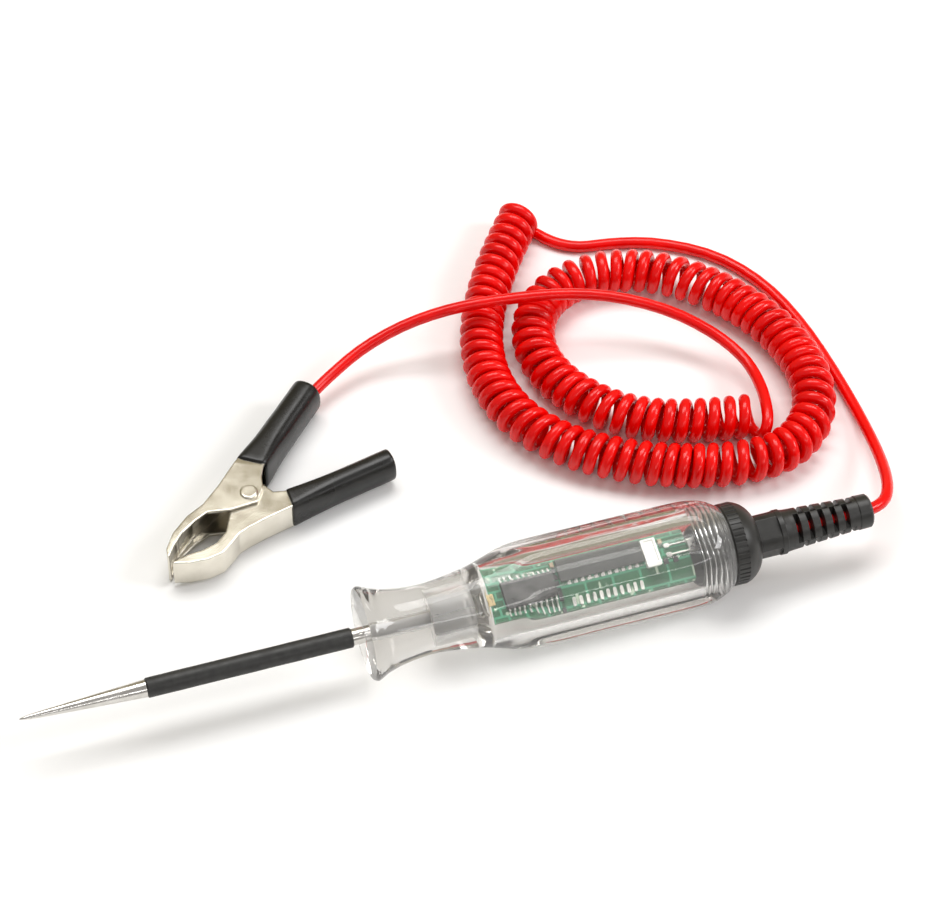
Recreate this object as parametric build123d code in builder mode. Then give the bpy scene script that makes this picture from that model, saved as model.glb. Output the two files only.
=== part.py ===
"""Circuit test light: a probe, a clear handle with a small display board, a screw cap,
a curly cord and a spring clip.

Millimetres. +X runs along the tester from the probe's tip to the cord, +Z is up, and the
origin lies on the bench under the middle of the tester, its cord left out.
"""

import os
from math import acos, cos, degrees, pi, radians, sin, tan

from build123d import *

os.makedirs("parts", exist_ok=True)

# ---------------------------------------------------------------- driving dimensions
probe_reach = 88.3
handle_length = 95.7
knurl_length = 3.4
dome_length = 4.8
neck_length = 6.0
flange_length = 3.0
slotted_length = 18.8
end_ring_length = 3.6

body_radius = 14.2          # over the handle's rounded corners
body_flats = 26.4           # across the handle's six flats
flare_flats = 23.8          # across the flats of the flared nose
handle_roll = 20.0          # the handle lies rolled this far towards -Y
cavity_radius = 9.6
thread_bore_radius = 9.3
thread_length = 9.0

cord_diameter = 3.15
coil_diameter = 12.0
sheet = 0.8                 # thickness of the clip's sheet steel
clip_open_gap = 0.1         # side gap between the clip's nested halves

# ---------------------------------------------------------------- stations along the tester
tester_length = (
    probe_reach + handle_length + knurl_length + dome_length
    + neck_length + flange_length + slotted_length + end_ring_length
)
tip_x = -tester_length / 2
face_x = tip_x + probe_reach              # front face of the handle
cap_x = face_x + handle_length            # where the cap meets the handle
dome_x = cap_x + knurl_length
neck_x = dome_x + dome_length
flange_x = neck_x + neck_length
slots_x = flange_x + flange_length
ring_x = slots_x + slotted_length
exit_x = ring_x + end_ring_length

# the handle rests on the edge between a flat and a rounded corner
flat_half_angle = degrees(acos(body_flats / 2 / body_radius))
axis_height = body_radius * cos(radians(handle_roll - flat_half_angle))

roll_sin, roll_cos = sin(radians(handle_roll)), cos(radians(handle_roll))
centre = Vector(0, 0, axis_height)
tester_axis = Axis((0, 0, axis_height), (1, 0, 0))
side_view = Plane(centre, x_dir=(1, 0, 0), z_dir=(0, -roll_cos, -roll_sin))
board_view = Plane(centre, x_dir=(1, 0, 0), z_dir=(0, -roll_sin, roll_cos))


def section(x):
    """Cross-section plane at x: local y points the way the board faces."""
    return Plane((x, 0, axis_height), x_dir=(0, roll_cos, roll_sin), z_dir=(1, 0, 0))


def finish(builder, name):
    """Label a finished piece and write it."""
    builder.part.label = name
    export_step(builder.part, f"parts/{name}.step")


# ---------------------------------------------------------------- handle
rod_radius = 1.5
rod_bore_end = face_x + 16.8
spring_bore_radius = 5.0
cavity_x = face_x + 31.5

with BuildPart() as handle:
    with BuildSketch(side_view):
        with BuildLine():
            Line((face_x, 0), (face_x, 11.7))
            RadiusArc((face_x, 11.7), (face_x + 0.9, 12.4), 0.9)
            Spline(
                (face_x + 0.9, 12.4), (face_x + 4, 10.9), (face_x + 8.5, 9.7),
                (face_x + 15.7, 8.95), (face_x + 22, 9.4), (face_x + 29, 10.5),
                (face_x + 37, 12.8), (face_x + 46, body_radius),
                tangents=((0.7, -0.7), (1, 0)),
            )
            Line((face_x + 46, body_radius), (face_x + 83, body_radius))
            Spline(
                (face_x + 83, body_radius), (face_x + 89.5, 13.6),
                (face_x + 93, 12.3), (cap_x, 10.5),
                tangents=((1, 0), (0.6, -0.8)),
            )
            Polyline((cap_x, 10.5), (cap_x, 0), (face_x, 0))
        make_face()
    revolve(axis=tester_axis)
    with BuildPart(mode=Mode.INTERSECT):
        with BuildSketch(section(face_x)):
            RegularPolygon(flare_flats / 2, 6, major_radius=False)
        extrude(amount=12)
        with BuildSketch(section(face_x + 12)):
            RegularPolygon(body_flats / 2, 6, major_radius=False)
        extrude(amount=handle_length - 12)
    with BuildSketch(side_view):
        with BuildLine():
            Polyline(
                (face_x - 1, 0), (face_x - 1, rod_radius + 0.02),
                (rod_bore_end, rod_radius + 0.02), (rod_bore_end, spring_bore_radius),
                (cavity_x - 4, spring_bore_radius), (cavity_x, cavity_radius),
                (cap_x - thread_length, cavity_radius),
                (cap_x - thread_length + 0.3, thread_bore_radius),
                (cap_x + 1, thread_bore_radius), (cap_x + 1, 0), (face_x - 1, 0),
            )
        make_face()
    revolve(axis=tester_axis, mode=Mode.SUBTRACT)
finish(handle, "handle")

# ---------------------------------------------------------------- probe
point_length = 3.0
cone_length = 32.2
sleeve_length = 53.0
sleeve_radius = 2.6
shank_radius = 2.15
cone_x = tip_x + cone_length
sleeve_end = cone_x + sleeve_length
rod_tail = rod_bore_end + 3.6

with BuildPart() as probe_rod:
    with BuildSketch(side_view):
        with BuildLine():
            Polyline(
                (tip_x, 0), (tip_x + 0.15, 0.18), (tip_x + point_length, 0.68),
                (cone_x - 0.6, 2.3), (cone_x, 2.3), (cone_x, 2.0), (sleeve_end, 2.0),
                (sleeve_end, shank_radius), (face_x - 0.02, shank_radius),
                (face_x - 0.02, rod_radius), (rod_tail, rod_radius), (rod_tail, 0),
                (tip_x, 0),
            )
        make_face()
    revolve(axis=tester_axis)
finish(probe_rod, "probe_rod")

with BuildPart() as probe_sleeve:
    with BuildSketch(section(cone_x + 0.01)):
        Circle(sleeve_radius)
        Circle(2.02, mode=Mode.SUBTRACT)
    extrude(amount=sleeve_length - 0.02)
    fillet(probe_sleeve.edges().filter_by(GeomType.CIRCLE).sort_by(SortBy.RADIUS)[-2:], 0.3)
finish(probe_sleeve, "probe_sleeve")

# a collar grips the rod's tail and seats the contact spring
collar_length = 1.2
with BuildPart() as rod_collar:
    with BuildSketch(section(rod_bore_end + 0.02)):
        Circle(3.9)
        Circle(rod_radius + 0.01, mode=Mode.SUBTRACT)
    extrude(amount=collar_length)
finish(rod_collar, "rod_collar")

# ---------------------------------------------------------------- contact spring
spring_wire = 0.6
spring_radius = 3.0
board_start = cavity_x + 0.5
board_length = 53.5
contact_x = board_start - 1.0
spring_start = rod_bore_end + collar_length + spring_wire / 2 + 0.1
spring_end = contact_x - 0.5 - spring_wire / 2
spring_turns = 8

with BuildPart() as front_contact_spring:
    with BuildLine() as spring_path:
        Helix(
            pitch=(spring_end - spring_start) / spring_turns,
            height=spring_end - spring_start,
            radius=spring_radius,
            center=(spring_start, 0, axis_height),
            direction=(1, 0, 0),
        )
    with BuildSketch(Plane(spring_path.line @ 0, z_dir=spring_path.line % 0)):
        Circle(spring_wire / 2)
    sweep(is_frenet=True)
finish(front_contact_spring, "front_contact_spring")

# ---------------------------------------------------------------- circuit board
board_width = 15.0
board_across = 1.4          # the board sits this far off the axis, across its own face
board_thickness = 1.2
board_bottom = 0.9
board_top = board_bottom + board_thickness
board_middle = board_start + board_length / 2

with BuildPart() as circuit_board:
    with BuildSketch(board_view.offset(board_bottom)):
        with Locations((board_middle, board_across)):
            RectangleRounded(board_length, board_width, 0.8)
    extrude(amount=board_thickness)
finish(circuit_board, "circuit_board")

# a small brass disc on two feet closes the circuit with the spring
with BuildPart() as contact_disc:
    with BuildSketch(section(contact_x - 0.4)):
        Circle(3.6)
    extrude(amount=0.4)
    with BuildSketch(board_view.offset(board_top)):
        with Locations((contact_x + 1.8, 0)):
            Rectangle(3.6, 3)
    extrude(amount=0.4)
finish(contact_disc, "contact_disc")

# chip: a wide twenty-lead package
lead_pitch = 1.27
chip_length, chip_width, chip_height = 12.4, 7.1, 1.5
chip_middle = board_start + 11.4
chip_floor = board_top + 0.15

with BuildPart() as chip_body:
    with BuildSketch(board_view.offset(chip_floor)):
        with Locations((chip_middle, 0)):
            Rectangle(chip_length, chip_width)
    extrude(amount=chip_height)
    chamfer(chip_body.edges().filter_by(Axis.X).group_by(SortBy.LENGTH)[-1], 0.25)
    with BuildSketch(board_view.offset(chip_floor + chip_height)):
        with Locations((chip_middle - chip_length / 2 + 1.6, -chip_width / 2 + 1.7)):
            Circle(0.6)
    extrude(amount=-0.12, mode=Mode.SUBTRACT)
finish(chip_body, "chip_body")

with BuildPart() as chip_leads:
    for side in (-1, 1):
        root_y = side * (chip_width / 2 + 0.01)
        for index in range(10):
            lead_x = chip_middle + (index - 4.5) * lead_pitch
            lead_plane = Plane(
                board_view.from_local_coords((lead_x - 0.2, 0, board_top)),
                x_dir=(0, roll_cos, roll_sin), z_dir=(1, 0, 0),
            )
            with BuildSketch(lead_plane):
                with BuildLine():
                    Polyline(
                        (root_y, 1.0), (root_y + side * 0.55, 1.0),
                        (root_y + side * 0.85, 0.28), (root_y + side * 1.75, 0.28),
                        (root_y + side * 1.75, 0.03), (root_y + side * 0.62, 0.03),
                        (root_y + side * 0.32, 0.75), (root_y, 0.75), (root_y, 1.0),
                    )
                make_face()
            extrude(amount=0.4)
finish(chip_leads, "chip_leads")

# display: a plastic tray, the glass on it, and its row of pins
lcd_length, lcd_width = 22.5, 8.2
lcd_middle = board_start + 30.36
lcd_across = 3.0
tray_height, glass_height = 0.9, 0.9

with BuildPart() as lcd_tray:
    with BuildSketch(board_view.offset(board_top + 0.02)):
        with Locations((lcd_middle, lcd_across)):
            Rectangle(lcd_length - 0.8, lcd_width - 0.8)
    extrude(amount=tray_height)
finish(lcd_tray, "lcd_tray")

with BuildPart() as lcd_glass:
    with BuildSketch(board_view.offset(board_top + tray_height + 0.03)):
        with Locations((lcd_middle, lcd_across)):
            Rectangle(lcd_length, lcd_width)
    extrude(amount=glass_height)
    chamfer(lcd_glass.faces().sort_by(Axis(centre, board_view.z_dir))[-1].edges(), 0.2)
finish(lcd_glass, "lcd_glass")

pin_pitch = 1.8
pin_count = 11
pin_y = lcd_across - lcd_width / 2 - 0.3
pad_row = 2.8
with BuildPart() as lcd_pins:
    with BuildSketch(board_view.offset(board_top + 0.02)):
        with Locations((lcd_middle, pin_y)):
            with GridLocations(pin_pitch, 0, pin_count, 1):
                Rectangle(0.45, 0.3)
    extrude(amount=tray_height + glass_height - 0.3)
    with BuildSketch(board_view.offset(board_top + 0.02)):
        with Locations((lcd_middle, pin_y - 0.4)):
            with GridLocations(pin_pitch, 0, pin_count, 1):
                Rectangle(0.9, 1.0)
        with Locations((lcd_middle, pin_y - 0.4 - pad_row)):
            with GridLocations(pin_pitch, 0, pin_count, 1):
                RectangleRounded(0.9, 0.9, 0.3)
    extrude(amount=0.35)
finish(lcd_pins, "lcd_pins")

strip_x = lcd_middle + lcd_length / 2 + 2.05
strip_across = 1.7
with BuildPart() as backlight_strip:
    with BuildSketch(board_view.offset(board_top + 0.02)):
        with Locations((strip_x, strip_across)):
            RectangleRounded(3.9, 9.8, 0.4)
    extrude(amount=1.9)
    with BuildSketch(board_view.offset(board_top + 1.92)):
        with Locations((strip_x, strip_across)):
            Rectangle(2.6, 8.2)
    extrude(amount=-0.3, mode=Mode.SUBTRACT)
finish(backlight_strip, "backlight_strip")

# small surface parts: one column between chip and display, one group at the rear
column_x = chip_middle + chip_length / 2 + 0.75
rear_x = strip_x + 3.3
pad_x = strip_x + 4.6
pad_across = 1.0
with BuildPart() as resistors:
    with BuildSketch(board_view.offset(board_top + 0.02)):
        with Locations((column_x, -1.1)):
            with GridLocations(0, 2.3, 1, 5):
                Rectangle(1.0, 1.7)
        with Locations((rear_x, -2.4), (rear_x + 2.6, -2.4)):
            Rectangle(1.25, 1.7)
    extrude(amount=0.55)
finish(resistors, "resistors")

with BuildPart() as capacitors:
    with BuildSketch(board_view.offset(board_top + 0.02)):
        with Locations((column_x, 6.0), (rear_x, 4.9)):
            Rectangle(1.0, 1.9)
    extrude(amount=1.0)
finish(capacitors, "capacitors")

# two tinned wires reach back from the board to the cord's bared end
lead_y = 1.7
tinned_radius = 0.35
lead_height = board_top + tinned_radius + 0.02
blob_x = board_start + 55.6
blob_length = 2.0


def lead_sections():
    """The two wires' round sections, on a cross-section plane."""
    with BuildSketch() as pair:
        with Locations((pad_across - lead_y, lead_height), (pad_across + lead_y, lead_height)):
            Circle(tinned_radius)
    return pair.sketch


with BuildPart() as tinned_leads:
    with BuildSketch(section(pad_x)):
        add(lead_sections())
    extrude(amount=blob_x - pad_x)
finish(tinned_leads, "tinned_leads")

with BuildPart() as solder_pads:
    with BuildSketch(board_view.offset(board_top)):
        with Locations((pad_x, pad_across)):
            with GridLocations(0, 2 * lead_y, 1, 2):
                RectangleRounded(1.4, 1.6, 0.4)
    extrude(amount=0.9)
    with BuildSketch(section(pad_x)):
        add(lead_sections())
    extrude(amount=2, mode=Mode.SUBTRACT)
finish(solder_pads, "solder_pads")

# ---------------------------------------------------------------- screw cap
spigot_radius = 9.0
spigot_length = 8.6
spigot_bore = 7.6
cap_wall = 2.0
cap_radius = 10.7
neck_hole_radius = 4.6
dome_radius = 6.4
knurl_count = 44

with BuildPart() as end_cap:
    with BuildSketch(side_view):
        with BuildLine():
            Polyline(
                (neck_x, neck_hole_radius), (neck_x - cap_wall, neck_hole_radius),
                (neck_x - cap_wall, 6.3), (dome_x - 0.4, spigot_bore),
                (cap_x - spigot_length, spigot_bore), (cap_x - spigot_length, 8.6),
                (cap_x - spigot_length + 0.5, spigot_radius), (cap_x, spigot_radius),
                (cap_x + 0.05, cap_radius - 0.3), (cap_x + 0.4, cap_radius),
                (dome_x, cap_radius),
            )
            ThreePointArc(
                (dome_x, cap_radius), (dome_x + 3.1, cap_radius - 1.7), (neck_x, dome_radius),
            )
            Line((neck_x, dome_radius), (neck_x, neck_hole_radius))
        make_face()
    revolve(axis=tester_axis)
    with BuildSketch(section(cap_x + 0.5)):
        with PolarLocations(cap_radius + 0.1, knurl_count):
            Rectangle(0.6, 0.55)
    extrude(amount=knurl_length - 0.5, mode=Mode.SUBTRACT)
finish(end_cap, "end_cap")

# ---------------------------------------------------------------- strain relief
cord_bore_radius = cord_diameter / 2 + 0.05
relief_front = neck_x - cap_wall - 2.4
slot_pitch = 3.3
slot_width = 1.35
slots_per_side = 5
slot_half_angle = 46

with BuildPart() as strain_relief:
    with BuildSketch(side_view):
        with BuildLine():
            Polyline(
                (relief_front, 0), (relief_front, 5.6), (neck_x - cap_wall - 0.1, 5.6),
                (neck_x - cap_wall - 0.1, 4.5), (neck_x + 0.1, 4.5), (neck_x + 0.1, 5.8),
                (flange_x, 5.8), (flange_x, 5.9), (slots_x - 1.6, 5.9), (slots_x - 1.5, 5.6),
                (slots_x, 5.4), (ring_x, 4.3), (ring_x, 4.5), (exit_x - 0.5, 4.4),
                (exit_x, 3.9), (exit_x, 0), (relief_front, 0),
            )
        make_face()
    revolve(axis=tester_axis)
    with BuildSketch(section(neck_x + 0.1)):
        Circle(7)
        RectangleRounded(10.2, 10.2, 0.8, mode=Mode.SUBTRACT)
    extrude(amount=neck_length - 0.1, mode=Mode.SUBTRACT)
    for index in range(2 * slots_per_side):
        with BuildSketch(section(slots_x + 1.2 + index * slot_pitch / 2)):
            for turn in (0, 180):
                middle = 110 + turn + 90 * (index % 2)
                with Locations(Rot(0, 0, middle - slot_half_angle)):
                    with BuildLine(mode=Mode.PRIVATE) as wedge:
                        start = PolarLine((0, 0), 8, 0)
                        stop = PolarLine((0, 0), 8, 2 * slot_half_angle)
                        CenterArc((0, 0), 8, 0, 2 * slot_half_angle)
                    add(make_face(wedge.wires()[0], mode=Mode.PRIVATE))
        extrude(amount=slot_width, mode=Mode.SUBTRACT)
    with BuildSketch(section(relief_front - 0.1)):
        Circle(cord_bore_radius)
    extrude(amount=exit_x - relief_front + 0.2, mode=Mode.SUBTRACT)
finish(strain_relief, "strain_relief")

# ---------------------------------------------------------------- cord routes
# The straight lead leaves the relief, turns back along the bench and joins the coil.
lead_route = [
    (exit_x, 0, axis_height), (115.8, 0.9, 13.8), (119.3, 5.2, 12.6), (122.0, 12.5, 10.0),
    (124.4, 23.5, 6.0), (125.9, 38.0, 2.2), (125.3, 55.0, 1.7), (123.2, 75.0, 1.7),
    (118.6, 92.5, 1.7), (109.5, 107.0, 1.7), (95.5, 116.4, 1.7), (79.5, 119.4, 1.7),
    (69.5, 122.6, 2.0), (63.6, 125.8, 3.0),
]
# The middle line of the coil: a loop and three quarters, lying on the bench.
coil_height = coil_diameter / 2 + 0.05
coil_route = [
    (61.0, 133.7), (51.5, 121.5), (43.0, 108.0), (36.6, 94.0), (33.8, 79.0), (36.8, 63.5),
    (45.5, 51.0), (58.0, 41.5), (72.5, 34.6), (88.0, 30.6), (102.5, 31.2), (113.0, 40.0),
    (117.2, 54.0), (115.3, 68.5), (109.0, 83.0), (99.0, 95.5), (86.5, 104.3), (72.5, 107.2),
    (59.4, 103.6), (51.0, 94.0), (48.6, 80.5), (54.0, 66.5), (65.0, 54.8), (80.0, 48.2),
    (96.2, 45.6),
]
# The tail climbs over the two sides of the coil and comes down to the clip.
tail_route = [
    (96.6, 42.6, 2.7), (100.0, 43.6, 2.0), (102.4, 46.9, 1.8), (103.0, 53.6, 2.2),
    (101.3, 62.5, 3.7), (96.0, 73.0, 6.6), (86.0, 82.6, 10.6), (73.0, 89.2, 14.8),
    (59.0, 92.9, 17.0), (44.0, 95.2, 17.2), (30.0, 97.0, 16.4), (17.0, 98.6, 12.6),
    (4.6, 97.2, 8.6), (-5.2, 92.6, 6.4), (-12.9, 87.5, 5.7),
]


def corner_radii(points):
    """Largest arc for each corner, from its shorter run and half its turn."""
    radii = []
    for before, here, after in zip(points, points[1:], points[2:]):
        arriving = Vector(*here) - Vector(*before)
        leaving = Vector(*after) - Vector(*here)
        half_turn = radians(arriving.get_angle(leaving) / 2)
        radii.append(0.45 * min(arriving.length, leaving.length) / tan(half_turn))
    return radii


def check_tube(name, part, path, radius):
    """Print how a tube's volume compares with its section times its length."""
    expected = pi * radius**2 * path.length
    print(name, "length", round(path.length, 1), "volume share", round(part.volume / expected, 4))


def cord_tube(points, diameter, name):
    """A plain tube along straight runs joined by tangent arcs."""
    radii = corner_radii(points)
    print(name, "radii", [round(value, 1) for value in radii])
    with BuildPart() as tube:
        with BuildLine() as path:
            FilletPolyline(*points, radius=radii)
        wire = path.wires()[0]
        with BuildSketch(Plane(wire @ 0, z_dir=wire % 0)):
            Circle(diameter / 2)
        sweep(path=wire)
    check_tube(name, tube.part, wire, diameter / 2)
    finish(tube, name)
    return tube


coil_points = [(x, y, coil_height) for x, y in coil_route]
lead_wire = cord_tube(lead_route, cord_diameter, "lead_wire")
cord_coil = cord_tube(coil_points, coil_diameter, "cord_coil")
tail_wire = cord_tube(tail_route, cord_diameter, "tail_wire")

# the same wire inside the relief, ending bared under the two tinned leads
inner_start = cap_x + 0.6
with BuildPart() as cord_inner_end:
    with BuildSketch(section(inner_start)):
        Circle(cord_diameter / 2)
    extrude(amount=exit_x - inner_start - 0.01)
finish(cord_inner_end, "cord_inner_end")

with BuildPart() as bared_conductor:
    with BuildSketch(section(blob_x + 0.01)):
        Circle(0.8)
    extrude(amount=inner_start - blob_x - 0.02)
finish(bared_conductor, "bared_conductor")

with BuildPart() as solder_blob:
    with BuildSketch(section(blob_x - blob_length)):
        with Locations((pad_across, board_top + 0.35)):
            SlotOverall(2 * lead_y + 2.0, 1.9)
        add(lead_sections(), mode=Mode.SUBTRACT)
    extrude(amount=blob_length)
    with BuildSketch(section(blob_x - blob_length / 2)):
        with Locations((0, board_top / 2 - 0.4)):
            RectangleRounded(1.6, board_top + 0.6, 0.5)
    extrude(amount=blob_length / 2)
finish(solder_blob, "solder_blob")

# ---------------------------------------------------------------- spring clip
# Plan outlines are measured from the pivot; the clip lies on its side.
pivot = Vector(-38.2, 56.0, 0)
clip_middle = 5.6           # height of the clip's middle plane
outer_depth = 10.0          # across the outer half's two side plates
inner_depth = outer_depth - 2 * sheet - 2 * clip_open_gap
upper_arm_angle = 46.0
lower_arm_angle = 12.5

outer_outline = [
    (-25.7, -15.5), (-25.1, -11.8), (-22.2, -7.3), (-17.4, -3.0), (-12.4, -0.3), (-7.0, 4.6),
    (-1.0, 11.0), (20.0, 32.4), (25.2, 27.5), (6.0, 7.6), (4.6, 4.4), (3.9, 0.2),
    (1.4, -3.6), (-5.9, -4.2), (-11.9, -3.2), (-15.7, -5.0), (-19.9, -7.9), (-22.8, -11.2),
]
inner_outline = [
    (-25.6, -15.9), (-20.4, -17.3), (-15.2, -17.5), (-11.4, -16.6), (-8.3, -14.1),
    (-5.8, -11.8), (-2.6, -10.5), (2.6, -8.9), (9.4, -7.2), (37.6, -0.9), (36.4, 4.6),
    (9.2, -1.5), (6.2, -0.9), (4.9, 1.4), (2.9, 4.1), (-1.2, 4.8), (-4.3, 2.6),
    (-5.6, -3.0), (-8.9, -10.2), (-12.1, -13.0), (-16.2, -14.2), (-19.8, -14.5),
]
rivet_radius = 1.5
wall_shift = 0.9


def clip_half(outline, depth, open_towards, arm_angle, name):
    """Folded sheet: two side plates and the wall that joins them along the outer edge."""
    points = [(pivot.X + x, pivot.Y + y) for x, y in outline]
    with BuildPart() as half:
        with BuildSketch(Plane.XY.offset(clip_middle - depth / 2)) as plate:
            Polygon(*points, align=None)
            fillet(plate.vertices(), 0.35)
        extrude(amount=depth)
        arm = Vector(cos(radians(arm_angle)), sin(radians(arm_angle)), 0)
        to_inside = open_towards * wall_shift
        for shift in (to_inside, to_inside + arm):
            with BuildSketch(Plane.XY.offset(clip_middle - depth / 2 + sheet)):
                add(plate.sketch_local.moved(Location(shift)))
            extrude(amount=depth - 2 * sheet, mode=Mode.SUBTRACT)
        with BuildSketch(Plane.XY):
            with Locations((pivot.X, pivot.Y)):
                Circle(rivet_radius + 0.03)
        extrude(amount=20, mode=Mode.SUBTRACT)
    finish(half, name)
    return half


clip_outer_half = clip_half(
    outer_outline, outer_depth, Vector(0.6, -0.8, 0), upper_arm_angle, "clip_outer_half"
)
clip_inner_half = clip_half(
    inner_outline, inner_depth, Vector(-0.25, 0.97, 0), lower_arm_angle, "clip_inner_half"
)

# the rivet is the hinge's pin; it stays with the outer half
head_radius, head_height = 2.4, 0.55
plates_bottom = clip_middle - outer_depth / 2
plates_top = clip_middle + outer_depth / 2
with BuildPart() as clip_rivet:
    with BuildSketch(Plane.XZ.offset(-pivot.Y)):
        with BuildLine():
            Polyline(
                (pivot.X, plates_bottom - head_height),
                (pivot.X + head_radius - 0.4, plates_bottom - head_height),
                (pivot.X + head_radius, plates_bottom - 0.15),
                (pivot.X + head_radius, plates_bottom), (pivot.X + rivet_radius, plates_bottom),
                (pivot.X + rivet_radius, plates_top), (pivot.X + head_radius, plates_top),
                (pivot.X + head_radius, plates_top + 0.15),
                (pivot.X + head_radius - 0.4, plates_top + head_height),
                (pivot.X, plates_top + head_height), (pivot.X, plates_bottom - head_height),
            )
        make_face()
    revolve(axis=Axis((pivot.X, pivot.Y, 0), (0, 0, 1)))
finish(clip_rivet, "clip_rivet")

# ---------------------------------------------------------------- clip spring
clip_wire = 1.1
clip_coil_radius = 3.0
clip_coil_pitch = 1.3
outer_leg_angle = 64.0      # direction of the leg that presses on the outer half
inner_leg_angle = -10.0
leg_length = 13.0
coil_from = outer_leg_angle + 90
coil_sweep = (inner_leg_angle - 90) - coil_from + 4 * 360
coil_rise = coil_sweep / 360 * clip_coil_pitch
coil_bottom = clip_middle - coil_rise / 2


def around_pivot(angle, distance, height):
    """A point at an angle and distance from the clip's pivot."""
    turn = radians(angle)
    return Vector(pivot.X + distance * cos(turn), pivot.Y + distance * sin(turn), height)


def spring_leg(angle, tangent_angle, height):
    """A straight leg that leaves the coil along its tangent."""
    start = around_pivot(tangent_angle, clip_coil_radius, height)
    along = Vector(cos(radians(angle)), sin(radians(angle)), 0)
    with BuildPart() as leg:
        with BuildSketch(Plane(start - along * 0.15, z_dir=along)):
            Circle(clip_wire / 2)
        extrude(amount=leg_length)
    return leg.part


outer_leg = spring_leg(outer_leg_angle, coil_from, coil_bottom)
inner_leg = spring_leg(inner_leg_angle, inner_leg_angle - 90, coil_bottom + coil_rise)


with BuildPart() as clip_spring:
    coil_plane = Plane(
        (pivot.X, pivot.Y, coil_bottom),
        x_dir=(cos(radians(coil_from)), sin(radians(coil_from)), 0), z_dir=(0, 0, 1),
    )
    with BuildLine(coil_plane) as clip_coil_path:
        Helix(pitch=clip_coil_pitch, height=coil_rise, radius=clip_coil_radius)
    coil_wire = clip_coil_path.wires()[0]
    with BuildSketch(Plane(coil_wire @ 0, z_dir=coil_wire % 0)):
        Circle(clip_wire / 2)
    sweep(path=coil_wire, is_frenet=True)
    add([outer_leg, inner_leg])
finish(clip_spring, "clip_spring")

# ---------------------------------------------------------------- vinyl grips
grip_wall = 0.6
grip_corner = 1.5
grip_fit = 0.04


def on_edge(edge, distance):
    """A point on one edge of an arm, at a distance from the edge's first point."""
    start, stop = [Vector(pivot.X + x, pivot.Y + y, 0) for x, y in edge]
    return start + (stop - start).normalized() * distance


def grip(left_edge, left_reach, right_edge, right_reach, depth, name):
    """A sleeve over one arm, made between distances along the arm's two long edges."""
    corners = [
        on_edge(left_edge, left_reach[0]), on_edge(left_edge, left_reach[1]),
        on_edge(right_edge, right_reach[1]), on_edge(right_edge, right_reach[0]),
    ]
    overrun = (corners[1] - corners[0]).normalized() * 5
    longer = [corners[0] - overrun, corners[1] + overrun, corners[2] + overrun, corners[3] - overrun]
    with BuildPart() as sleeve:
        with BuildSketch(Plane.XY.offset(clip_middle - depth / 2 - grip_wall)):
            Polygon(*corners, align=None)
            offset(amount=grip_wall, kind=Kind.INTERSECTION)
        extrude(amount=depth + 2 * grip_wall)
        fillet(sleeve.edges().filter_by(Axis.Z, reverse=True).sort_by(SortBy.LENGTH)[-4:], grip_corner)
        with BuildSketch(Plane.XY.offset(clip_middle - depth / 2 - grip_fit)):
            Polygon(*longer, align=None)
            offset(amount=grip_fit, kind=Kind.INTERSECTION)
        extrude(amount=depth + 2 * grip_fit, mode=Mode.SUBTRACT)
    finish(sleeve, name)
    return sleeve


grip_fixed = grip(
    ((-1.0, 11.0), (20.0, 32.4)), (1.7, 32.7), ((6.0, 7.6), (25.2, 27.5)), (0.5, 30.5),
    outer_depth, "grip_fixed",
)
grip_moving = grip(
    ((9.2, -1.5), (36.4, 4.6)), (0.4, 30.0), ((9.4, -7.2), (37.6, -0.9)), (0.4, 30.9),
    inner_depth, "grip_moving",
)

# ---------------------------------------------------------------- the cord's end in the clip
tail_end = Vector(*tail_route[-1])
ferrule_end = Vector(pivot.X + 12.0, pivot.Y + 19.4, clip_middle)
inward = (ferrule_end - tail_end).normalized()
ferrule_length = 5.0
ferrule_radius = 2.2

with BuildPart() as cord_clip_end:
    with BuildSketch(Plane(tail_end, z_dir=inward)):
        Circle(cord_diameter / 2)
    extrude(amount=(ferrule_end - tail_end).length)
finish(cord_clip_end, "cord_clip_end")

with BuildPart() as clip_ferrule:
    with BuildSketch(Plane(ferrule_end - inward * ferrule_length, z_dir=inward)):
        Circle(ferrule_radius)
        Circle(cord_bore_radius, mode=Mode.SUBTRACT)
    extrude(amount=ferrule_length)
finish(clip_ferrule, "clip_ferrule")
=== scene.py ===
# %% [markdown]
# # Dressing a circuit test light
# A test light is a probe in a clear handle, a screw cap, a curly cord and a spring clip. The solid
# parts come from a finished CAD model, which this file loads as a frame that never moves. What is left
# to do here is what the eye judges: clear plastic, plated steel, vinyl and the cord's many turns.

# %% Load the frame
from math import cos, pi, radians, sin, sqrt

import bmesh
import bpy
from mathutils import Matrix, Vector, noise


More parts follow.
